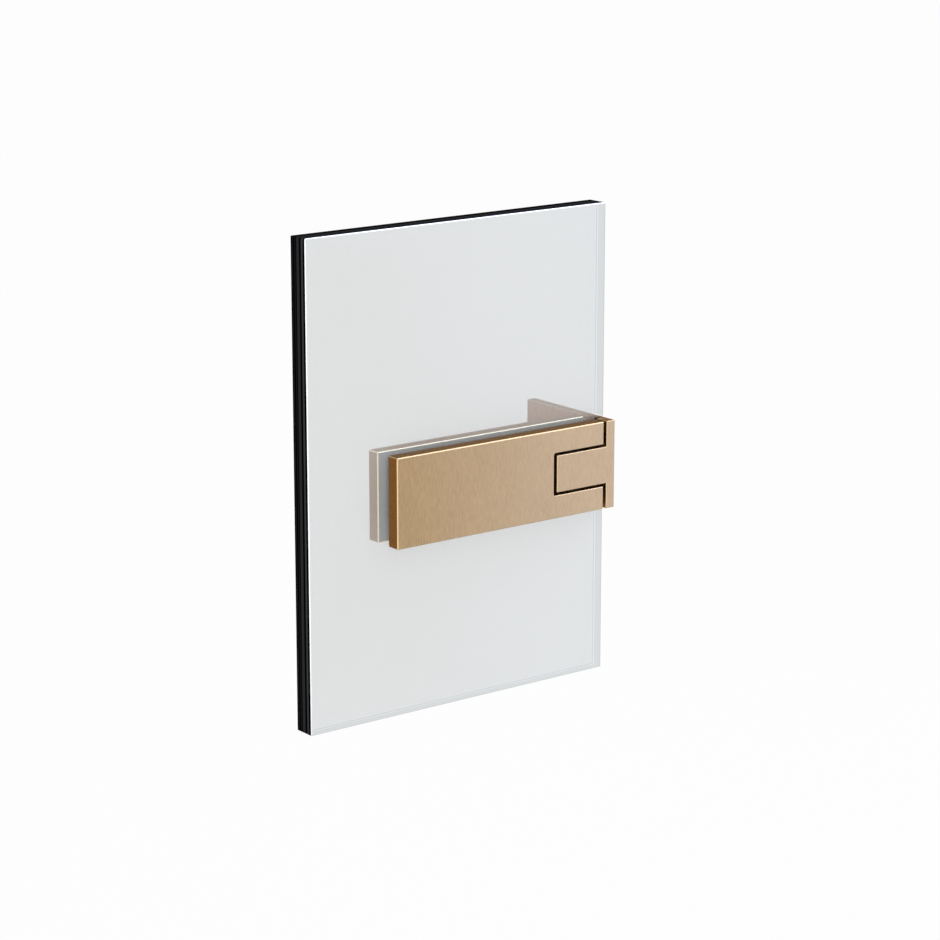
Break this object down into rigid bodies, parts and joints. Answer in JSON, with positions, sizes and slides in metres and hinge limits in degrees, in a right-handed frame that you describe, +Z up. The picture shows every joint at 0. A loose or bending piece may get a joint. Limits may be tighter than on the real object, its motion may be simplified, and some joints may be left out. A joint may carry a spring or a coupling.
{
  "type": "rising hinge",
  "caption": "Wall-mounted rising hinge for a glass door: a forked leaf clamps a glass pane, turns on a pin in the wall bracket's tongue and is lifted by helical cams.",
  "frame": {"origin": "centre of the wall plate's back face, which lies on the wall", "axes": "+X into the wall, -X along the closed door away from the wall, -Y to the front of the door, +Z up"},
  "size_m": [0.1204, 0.046, 0.16],
  "materials": {
    "champagne_brass": "fine vertical brushing, champagne colour",
    "stainless_steel": "satin",
    "hardened_steel": "black oxide",
    "grey_gasket": "matt",
    "white_acetal": "natural",
    "door_glass": "polished faces, ground edges"
  },
  "bodies": {
    "wall_side": {"wall_bracket": "champagne_brass", "tongue_bush": "white_acetal", "lower_cam": "hardened_steel"},
    "pivot": {"pivot_pin": "hardened_steel"},
    "leaf": {"outer_plate": "champagne_brass", "upper_bearing_cap": "champagne_brass", "lower_bearing_cap": "champagne_brass", "upper_left_cap_screw": "stainless_steel", "upper_right_cap_screw": "stainless_steel", "lower_left_cap_screw": "stainless_steel", "lower_right_cap_screw": "stainless_steel", "upper_cam": "hardened_steel", "inner_plate": "champagne_brass", "clamp_screw_1": "stainless_steel", "clamp_screw_2": "stainless_steel", "glass_panel": "door_glass", "glass_sleeve_1": "white_acetal", "glass_sleeve_2": "white_acetal", "outer_gasket": "grey_gasket", "inner_gasket": "grey_gasket"}
  },
  "joints": [
    {"name": "swing", "type": "hinge", "parent": "wall_side", "child": "pivot", "pos_m": [-0.0155, -0.01865, 0], "axis": [0, 0, 1], "range_deg": [0, 90]},
    {"name": "rise", "type": "slide", "parent": "pivot", "child": "leaf", "axis": [0, 0, 1], "range_m": [0, 0.0008]}
  ],
  "couplings": [
    {"joint": "rise", "follows": "swing", "m_per_rad": 0.000509}
  ]
}
